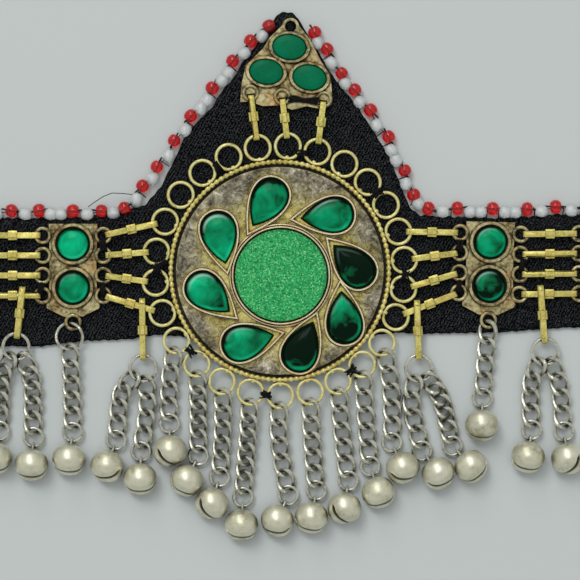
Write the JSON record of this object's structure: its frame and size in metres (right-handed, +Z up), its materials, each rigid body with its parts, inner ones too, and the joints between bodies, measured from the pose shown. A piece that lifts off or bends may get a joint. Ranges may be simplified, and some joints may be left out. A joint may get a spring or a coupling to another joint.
{
  "type": "matha patti",
  "caption": "Black cloth forehead band with a pointed crest, brass plates set with green glass, strip links, and a fringe of curb chains with round bells.",
  "frame": {"origin": "on the table under the middle of the whole outline", "axes": "+X along the band to the right, +Y up to the tip of the crest, +Z up off the table through the stones"},
  "size_m": [0.1954, 0.1368, 0.0083],
  "materials": {
    "black_cloth": "matt twill with a slightly fuzzy edge",
    "antique_brass": "worn, with dark patina in the hollows",
    "yellow_brass": "bright, lightly scratched",
    "nickel_steel": "warm, polished by wear",
    "opaque_glass": "opaque green, glossy",
    "foiled_glass": "emerald glass on crumpled foil, glossy",
    "glitter_disc": "light green with fine glitter",
    "red_bead": "translucent red glass",
    "clear_bead": "clear glass",
    "black_thread": "twisted cotton"
  },
  "bodies": {
    "root": {"cloth_band": "black_cloth", "crest_plate": "antique_brass", "medallion": "antique_brass", "side_plate_left": "antique_brass", "side_plate_right": "antique_brass", "end_plate_left": "antique_brass", "end_plate_right": "antique_brass", "crest_stone_1": "opaque_glass", "crest_stone_2": "opaque_glass", "crest_stone_3": "opaque_glass", "centre_disc": "glitter_disc", "petal_stone_1": "foiled_glass", "petal_stone_2": "foiled_glass", "petal_stone_3": "foiled_glass", "petal_stone_4": "foiled_glass", "petal_stone_5": "foiled_glass", "petal_stone_6": "foiled_glass", "petal_stone_7": "foiled_glass", "petal_stone_8": "foiled_glass", "side_stone_left_top": "foiled_glass", "side_stone_left_low": "foiled_glass", "side_stone_right_top": "foiled_glass", "side_stone_right_low": "foiled_glass", "end_stone_left_top": "foiled_glass", "end_stone_left_low": "foiled_glass", "end_stone_right_top": "foiled_glass", "end_stone_right_low": "foiled_glass", "crest_link_1": "yellow_brass", "crest_link_2": "yellow_brass", "crest_link_3": "yellow_brass", "inner_links_left": "yellow_brass", "inner_links_right": "yellow_brass", "outer_links_left": "yellow_brass", "outer_links_right": "yellow_brass", "hanger_1": "yellow_brass", "hanger_2": "yellow_brass", "hanger_3": "yellow_brass", "hanger_4": "yellow_brass", "chain_03": "nickel_steel", "chain_06": "nickel_steel", "chain_07": "nickel_steel", "chain_08": "nickel_steel", "chain_09": "nickel_steel", "chain_10": "nickel_steel", "chain_11": "nickel_steel", "chain_12": "nickel_steel", "chain_13": "nickel_steel", "chain_14": "nickel_steel", "chain_17": "nickel_steel", "chains_01_02": "nickel_steel", "chains_04_05": "nickel_steel", "chains_15_16": "nickel_steel", "chains_18_19": "nickel_steel"}
  },
  "joints": []
}
